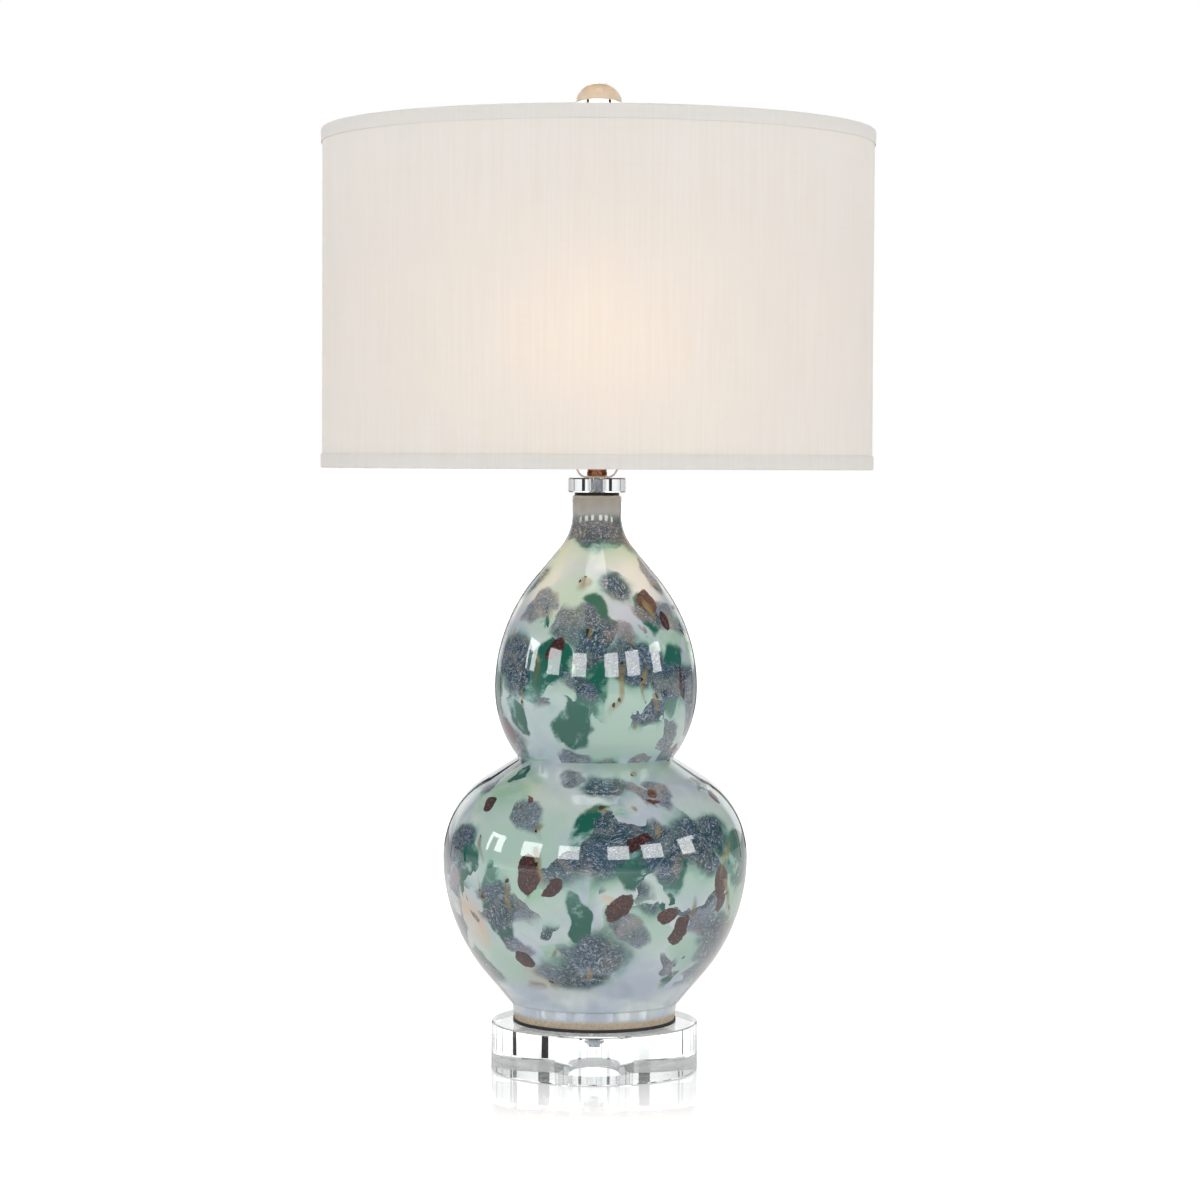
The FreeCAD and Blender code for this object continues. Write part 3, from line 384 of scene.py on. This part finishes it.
    glazed = build.math("SUBTRACT", 1.0, bare)
    waviness = build.noise(place, 45.0, detail=1.0).outputs["Fac"]
    skin = build.bump(waviness, 0.3, 0.15 * MM)
    return build.finish(build.node("BsdfPrincipled", {
        "Base Color": colour, "Roughness": build.ramp(bare, 0.0, 1.0, 0.06, 0.75),
        "Coat Weight": glazed, "Coat Roughness": 0.015, "Coat IOR": GLASS_IOR,
        "Normal": skin, "Coat Normal": skin,
    }))


# ---------------------------------------------------------------------------------------------
# The shade's cloth
# ---------------------------------------------------------------------------------------------

LINEN_LIGHT = srgb(250, 250, 249)
LINEN_SHADOW = srgb(246, 245, 242)
LINEN_THROUGH = srgb(250, 240, 226)
LINEN_SPREAD = 0.12
LINEN_ONWARD_LEAST = 0.17
LINEN_ONWARD_MOST = 0.20
BACKING_LIGHT = srgb(248, 247, 244)
BACKING_SHADE = srgb(240, 238, 233)
BACKING_THROUGH = 0.6
BACKING_ONWARD = 0.8


def linen():
    """Off-white linen: single threads, thicker slubs, and light that passes both spread and
    straight on between the threads."""
    build = Material("shade_linen")
    across = build.node("TexCoord").outputs["UV"]
    upright = build.noise(build.scaled(across, (420.0, 9.0, 1.0)), 1.0, detail=4.0,
                          roughness=0.65).outputs["Fac"]
    level = build.noise(build.scaled(across, (14.0, 620.0, 1.0)), 1.0, detail=3.0,
                        roughness=0.6).outputs["Fac"]
    slub = build.noise(build.scaled(across, (160.0, 3.5, 1.0)), 1.0, detail=2.0).outputs["Fac"]
    threads = build.math("ADD", build.math("MULTIPLY", upright, 0.8),
                         build.math("MULTIPLY", level, 0.2))
    colour = build.mix(build.ramp(threads, 0.35, 0.65), LINEN_SHADOW, LINEN_LIGHT)
    colour = build.mix(build.ramp(slub, 0.6, 0.72, 0.0, 0.35), colour, LINEN_SHADOW)
    normal = build.bump(threads, 0.15, 0.1 * MM)
    front = build.node("BsdfDiffuse", {"Color": colour, "Roughness": 0.6, "Normal": normal})
    spread = build.node("BsdfTranslucent", {"Color": LINEN_THROUGH, "Normal": normal})
    onward = build.node("BsdfRefraction", {"Color": LINEN_THROUGH, "Roughness": 0.9,
                                           "IOR": 1.3, "Normal": normal})
    gaps = build.ramp(threads, 0.35, 0.65, LINEN_ONWARD_MOST, LINEN_ONWARD_LEAST)
    cloth = build.node("MixShader", {0: LINEN_SPREAD, 1: front.outputs[0],
                                     2: spread.outputs[0]})
    return build.finish(build.node("MixShader", {0: gaps, 1: cloth.outputs[0],
                                                 2: onward.outputs[0]}))


def backing():
    """The shade's translucent lining sheet, which scatters the bulb's light forward."""
    build = Material("shade_backing")
    mottle = build.noise(build.place(), 220.0, detail=3.0).outputs["Fac"]
    colour = build.mix(build.drift(mottle), BACKING_LIGHT, BACKING_SHADE)
    front = build.node("BsdfDiffuse", {"Color": colour})
    spread = build.node("BsdfTranslucent", {"Color": colour})
    onward = build.node("BsdfRefraction", {"Color": colour, "Roughness": 0.7, "IOR": 1.45})
    through = build.node("MixShader", {0: BACKING_ONWARD, 1: spread.outputs[0],
                                       2: onward.outputs[0]})
    return build.finish(build.node("MixShader", {0: BACKING_THROUGH, 1: front.outputs[0],
                                                 2: through.outputs[0]}))


FABRIC_LOW, FABRIC_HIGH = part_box("shade_fabric")
LAP_ROOM = 0.3 * MM
LAP_RISE = 0.35 * MM
CLOTH_INSET = 0.15 * MM
FABRIC_RADIUS = FABRIC_HIGH[0] - LAP_ROOM
FABRIC_SEAM = 12 * MM
AROUND_STEPS = 360
CLOTH_ROWS = 40


def placed(name, data):
    """A new object in the scene."""
    thing = bpy.data.objects.new(name, data)
    bpy.context.scene.collection.objects.link(thing)
    return thing


def on_wall(angle, radius, height):
    """A point on a drum. Angle 0 is at the back, where the seams are."""
    return Vector((-radius * math.sin(angle), radius * math.cos(angle), height))


def mesh_piece(name, form, material):
    """A smooth-shaded object from a bmesh."""
    mesh = bpy.data.meshes.new(name)
    form.to_mesh(mesh)
    form.free()
    for face in mesh.polygons:
        face.use_smooth = True
    piece = placed(name, mesh)
    mesh.materials.append(material)
    return piece


def wrapped_cloth(name, material):
    """The drum's cloth: one strip round the liner, lapped over its own start at the back.
    Returns it, and the length and width of the strip when it lies flat."""
    form = bmesh.new()
    flat = form.loops.layers.uv.new("flat")
    length = TURN * FABRIC_RADIUS + FABRIC_SEAM
    lap = FABRIC_SEAM / FABRIC_RADIUS
    turns = [step * (TURN + lap) / AROUND_STEPS for step in range(AROUND_STEPS + 1)]
    heights = [FABRIC_LOW[2] + row * (FABRIC_HIGH[2] - FABRIC_LOW[2]) / CLOTH_ROWS
               for row in range(CLOTH_ROWS + 1)]
    grid = []
    for angle in turns:
        lifted = LAP_RISE * max(0.0, min(1.0, (angle - TURN + lap) / lap))
        radius = FABRIC_RADIUS - CLOTH_INSET + lifted
        grid.append([form.verts.new(on_wall(angle, radius, height)) for height in heights])
    for step in range(AROUND_STEPS):
        for row in range(CLOTH_ROWS):
            corners = ((step, row), (step + 1, row), (step + 1, row + 1), (step, row + 1))
            face = form.faces.new([grid[s][r] for s, r in corners])
            for loop, (s, r) in zip(face.loops, corners):
                loop[flat].uv = (s * length / AROUND_STEPS, heights[r])
    return mesh_piece(name, form, material), (length, heights[-1] - heights[0])


def folded_tape(name, material, section):
    """A tape folded over a rim: section gives its outline as (radius, height) all the way round."""
    form = bmesh.new()
    flat = form.loops.layers.uv.new("flat")
    rings = []
    for step in range(AROUND_STEPS):
        angle = step * TURN / AROUND_STEPS
        rings.append([form.verts.new(on_wall(angle, radius, height))
                      for radius, height in section])
    for step in range(AROUND_STEPS):
        following = (step + 1) % AROUND_STEPS
        for edge in range(len(section)):
            after = (edge + 1) % len(section)
            corners = ((step, edge), (following, edge), (following, after), (step, after))
            face = form.faces.new([rings[s][e] for s, e in corners])
            across = (0, 1, 1, 0)
            for loop, shift, (s, e) in zip(face.loops, across, corners):
                along = (step + shift) * TURN * FABRIC_RADIUS / AROUND_STEPS
                loop[flat].uv = (along, section[e][1])
    bmesh.ops.recalc_face_normals(form, faces=form.faces)
    return mesh_piece(name, form, material)


# ---------------------------------------------------------------------------------------------
# Every solid's finish
# ---------------------------------------------------------------------------------------------

finishes = {
    "crystal": crystal(),
    "glaze": glaze(),
    "gasket_black": moulded("gasket_black", srgb(30, 30, 32), srgb(44, 44, 46), (0.5, 0.7),
                            2 * MM),
    "dark_metal": metal("dark_metal", srgb(70, 66, 64), srgb(46, 43, 42), (0.25, 0.4), 6 * MM),
    "polished_nickel": metal("polished_nickel", srgb(232, 230, 226), srgb(216, 213, 208),
                             (0.16, 0.30), 9 * MM),
    "zinc_steel": metal("zinc_steel", srgb(150, 153, 160), srgb(120, 122, 128), (0.16, 0.3),
                        3 * MM),
    "brass": metal("brass", srgb(176, 130, 104), srgb(138, 98, 78), (0.18, 0.32), 5 * MM),
    "fibre": moulded("fibre", srgb(150, 128, 104), srgb(120, 100, 80), (0.7, 0.9), 1.5 * MM),
    "socket_moulding": moulded("socket_moulding", srgb(232, 228, 218), srgb(216, 211, 200),
                               (0.4, 0.6), 4 * MM),
    "black_plastic": moulded("black_plastic", srgb(26, 26, 27), srgb(36, 36, 38), (0.25, 0.4),
                             3 * MM),
    "bulb_aluminium": metal("bulb_aluminium", srgb(208, 209, 211), srgb(186, 187, 190),
                            (0.22, 0.34), 4 * MM),
    "bulb_glass": lit_bulb(),
    "shade_linen": linen(),
    "shade_backing": backing(),
    "shade_wire": moulded("shade_wire", srgb(232, 230, 224), srgb(218, 215, 208), (0.3, 0.45),
                          3 * MM),
}

for subpart in frame["record"]["subparts"]:
    node = frame["nodes"][subpart["node"]]
    node.data.materials.clear()
    node.data.materials.append(finishes[subpart["material_slot"]])

# ---------------------------------------------------------------------------------------------
# The shade
# ---------------------------------------------------------------------------------------------

# A folded tape's outline: how far each corner lies in from the outer face, in mm, which end it is
# measured from, and how far it lies from that end towards the other, in mm.
TAPE_OUTLINE = (
    (0.6, "free", 0.0), (0.2, "free", 0.0), (0.0, "free", 0.3), (0.0, "fold", 1.5),
    (0.3, "fold", 0.5), (1.0, "fold", 0.0), (1.6, "fold", 0.5), (1.0, "fold", 1.2),
)


def tape_section(node, rim_up):
    """A folded tape's outline inside a trim's box: outer face, rounded fold, short inner face."""
    low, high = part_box(node)
    fold, free = (high[2], low[2]) if rim_up else (low[2], high[2])
    towards_free = -1 if rim_up else 1
    ends = {"fold": (fold, towards_free), "free": (free, -towards_free)}
    section = []
    for depth, end, back in TAPE_OUTLINE:
        height, direction = ends[end]
        section.append((high[0] - depth * MM, height + direction * back * MM))
    return section


cloth, flat_size = wrapped_cloth("shade_cloth", finishes["shade_linen"])
top_tape = folded_tape("shade_top_tape", finishes["shade_linen"],
                       tape_section("shade_top_trim", True))
bottom_tape = folded_tape("shade_bottom_tape", finishes["shade_linen"],
                          tape_section("shade_bottom_trim", False))
for piece, node in ((cloth, "shade_fabric"), (top_tape, "shade_top_trim"),
                    (bottom_tape, "shade_bottom_trim")):
    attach(piece, "shade")
    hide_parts(node)

# ---------------------------------------------------------------------------------------------
# The studio
# ---------------------------------------------------------------------------------------------

PANEL_DISTANCE = 5.0
PANEL_SIDE = 1.4
PANEL_RISE = 1.34
PANEL_AIM = Vector((0.0, 0.0, 0.32))
PANEL_BEARINGS = (-83, -50, -20, 18, 44, 76.5)
PANEL_POWER = 34.0
OVERHEAD_AT = Vector((0.0, -0.6, 4.0))
OVERHEAD_SIDE = 1.6
OVERHEAD_POWER = 14.0


def aim(thing, target):
    """Turns a light towards target: lights shine along their own -Z."""
    thing.rotation_euler = (target - thing.location).to_track_quat("-Z", "Y").to_euler()


def panel(name, location, side, power, target):
    """A square light at location that shines at target."""
    light = bpy.data.lights.new(name, "AREA")
    light.shape = "SQUARE"
    light.size = side
    light.energy = power
    piece = placed(name, light)
    piece.location = location
    aim(piece, target)


for index, bearing in enumerate(PANEL_BEARINGS):
    turned = math.radians(bearing)
    spot = PANEL_AIM + Vector((PANEL_DISTANCE * math.sin(turned),
                               -PANEL_DISTANCE * math.cos(turned), PANEL_RISE))
    panel("panel_%d" % index, spot, PANEL_SIDE, PANEL_POWER, PANEL_AIM)
panel("overhead", OVERHEAD_AT, OVERHEAD_SIDE, OVERHEAD_POWER, PANEL_AIM)


def seen_directly(tree, kinds=("Is Glossy Ray", "Is Transmission Ray")):
    """1 for what the camera, a reflection or a refraction sees, and 0 for what lights things."""
    path = tree.nodes.new("ShaderNodeLightPath")
    total = path.outputs["Is Camera Ray"]
    for kind in kinds:
        add = tree.nodes.new("ShaderNodeMath")
        add.operation = "ADD"
        add.use_clamp = True
        tree.links.new(total, add.inputs[0])
        tree.links.new(path.outputs[kind], add.inputs[1])
        total = add.outputs[0]
    return total


FLOOR = 40.0
FLOOR_LIFT_NEAR = 0.36
FLOOR_LIFT_FROM = 0.1
FLOOR_LIFT_TO = 1.6
FLOOR_THROUGH_GLASS = 0.66
GLEAM = 0.42
GLEAM_FROM = 0.08
GLEAM_TO = 0.32


def floor_material():
    """A white sweep: it reads as white, keeps the lamp's shadow, and gleams near the lamp."""
    build = Material("floor")
    distance = build.node("VectorMath", {0: build.place()}, operation="LENGTH").outputs["Value"]
    mottle = build.noise(build.place(), 3.0).outputs["Fac"]
    paint = build.node("BsdfDiffuse", {
        "Color": build.mix(build.drift(mottle), srgb(244, 244, 244),
                           srgb(250, 250, 250)),
    })
    gleam = build.node("BsdfGlossy", {"Color": srgb(255, 255, 255), "Roughness": 0.0})
    near = build.ramp(distance, GLEAM_FROM, GLEAM_TO, GLEAM, 0.0)
    surface = build.node("MixShader", {0: near, 1: paint.outputs[0], 2: gleam.outputs[0]})
    through = build.node("LightPath").outputs["Is Transmission Ray"]
    lift = build.math("MAXIMUM",
                      build.ramp(distance, FLOOR_LIFT_FROM, FLOOR_LIFT_TO, FLOOR_LIFT_NEAR, 1.0),
                      build.math("MULTIPLY", through, FLOOR_THROUGH_GLASS))
    glow = build.node("Emission", {
        "Color": srgb(255, 255, 255),
        "Strength": build.math("MULTIPLY", lift,
                               seen_directly(build.tree, ("Is Transmission Ray",))),
    })
    return build.finish(build.node("AddShader", {0: surface.outputs[0], 1: glow.outputs[0]}))


floor_mesh = bpy.data.meshes.new("floor")
floor_mesh.from_pydata([(-FLOOR, -FLOOR, 0), (FLOOR, -FLOOR, 0), (FLOOR, FLOOR, 0),
                        (-FLOOR, FLOOR, 0)], [], [(0, 1, 2, 3)])
floor = placed("floor", floor_mesh)
floor_mesh.materials.append(floor_material())

# Dark cards: their bearings in degrees and their widths. Then each set's distance and height.
FAR_CARDS = ((140, 0.07), (161, 0.20), (199, 0.20), (222, 0.06), (118, 0.12), (247, 0.10),
             (84, 0.30), (276, 0.22))
NEAR_CARDS = ((168.2, 0.0014), (191.6, 0.0012), (172, 0.0008), (186.5, 0.0010), (176, 0.0008),
              (182, 0.0006))
CARD_SETS = (("far", 2.2, 1.0, FAR_CARDS), ("near", 0.094, 0.05, NEAR_CARDS))


def card_material():
    """Black flocked card, a little uneven."""
    build = Material("black_card")
    nap = build.noise(build.place(), 300.0).outputs["Fac"]
    return build.finish(build.node("BsdfDiffuse", {
        "Color": build.mix(nap, srgb(10, 10, 10), srgb(26, 26, 26)),
    }))


def dark_cards(name, distance, height, cards, material):
    """Upright black cards, each given by its bearing and its width, in an arc round the lamp's
    back and, for the far ones, its sides. Glass and metal show the far ones, and only glass shows
    the near ones: they are the dark lines that give clear crystal its edges."""
    for index, (bearing, width) in enumerate(cards):
        turned = math.radians(bearing)
        middle = Vector((distance * math.sin(turned), -distance * math.cos(turned), 0))
        side = Vector((math.cos(turned), math.sin(turned), 0)) * width / 2
        top = Vector((0, 0, height))
        mesh = bpy.data.meshes.new("%s_card_%d" % (name, index))
        mesh.from_pydata([middle - side, middle + side, middle + side + top,
                          middle - side + top], [], [(0, 1, 2, 3)])
        mesh.materials.append(material)
        card = placed(mesh.name, mesh)
        card.visible_camera = False
        card.visible_diffuse = False
        card.visible_glossy = name == "far"
        card.visible_shadow = False


flock = card_material()
for card_set in CARD_SETS:
    dark_cards(*card_set, flock)


WORLD_FRONT = 0.12
WORLD_BACK = 0.86
WORLD_FADE = 0.6
SWEEP_EDGE = 0.80
SWEEP_FADE = 0.06
ROOM_REFLECTED = 0.16
ROOM_THROUGH_GLASS = 0.70


def blend(tree, value, low, high, bottom, top):
    """value from low to high as bottom to top, either of which may be another output."""
    node = tree.nodes.new("ShaderNodeMapRange")
    for socket, given in (("Value", value), ("From Min", low), ("From Max", high),
                          ("To Min", bottom), ("To Max", top)):
        if isinstance(given, bpy.types.NodeSocket):
            tree.links.new(given, node.inputs[socket])
        else:
            node.inputs[socket].default_value = given
    return node.outputs["Result"]


def studio_world():
    """White behind the lamp and dimmer on the camera's side, as in a studio with a white sweep.
    What is seen of it directly is brighter than what it gives as light, and the floor, the only
    perfect mirror here, shows it white all round."""
    world = bpy.data.worlds.new("studio")
    world.use_nodes = True
    tree = world.node_tree
    tree.nodes.clear()
    direction = tree.nodes.new("ShaderNodeTexCoord")
    split = tree.nodes.new("ShaderNodeSeparateXYZ")
    tree.links.new(direction.outputs["Generated"], split.inputs[0])
    light = blend(tree, split.outputs["Y"], -WORLD_FADE, WORLD_FADE, WORLD_FRONT, WORLD_BACK)
    path = tree.nodes.new("ShaderNodeLightPath").outputs
    room = blend(tree, path["Is Transmission Ray"], 0.0, 1.0, ROOM_REFLECTED, ROOM_THROUGH_GLASS)
    sweep = blend(tree, split.outputs["Y"], SWEEP_EDGE - SWEEP_FADE, SWEEP_EDGE + SWEEP_FADE,
                  room, 1.0)
    strength = blend(tree, seen_directly(tree), 0.0, 1.0, light, sweep)
    for kind in ("Is Camera Ray", "Is Singular Ray"):
        strength = blend(tree, path[kind], 0.0, 1.0, strength, 1.0)
    background = tree.nodes.new("ShaderNodeBackground")
    background.inputs["Color"].default_value = srgb(255, 255, 255)
    tree.links.new(strength, background.inputs["Strength"])
    shown = tree.nodes.new("ShaderNodeOutputWorld")
    tree.links.new(background.outputs[0], shown.inputs["Surface"])
    return world


bpy.context.scene.world = studio_world()

# ---------------------------------------------------------------------------------------------
# The camera and the view
# ---------------------------------------------------------------------------------------------

IMAGE_SIDE = 1200
FOCAL_PIXELS = 3363
SENSOR_WIDTH = 36.0
CAMERA_AT = Vector((0.0, -2.8, 0.5064))
CAMERA_PITCH = 0.0409
CAMERA_YAW = -0.00107
CAMERA_ROLL = 0.005

camera_data = bpy.data.cameras.new("camera")
camera_data.sensor_width = SENSOR_WIDTH
camera_data.lens = SENSOR_WIDTH * FOCAL_PIXELS / IMAGE_SIDE
camera = placed("camera", camera_data)
camera.matrix_world = (Matrix.Translation(CAMERA_AT) @ Matrix.Rotation(CAMERA_YAW, 4, "Z")
                       @ Matrix.Rotation(math.pi / 2 - CAMERA_PITCH, 4, "X")
                       @ Matrix.Rotation(CAMERA_ROLL, 4, "Z"))
bpy.context.scene.camera = camera
bpy.context.scene.view_settings.view_transform = "Standard"
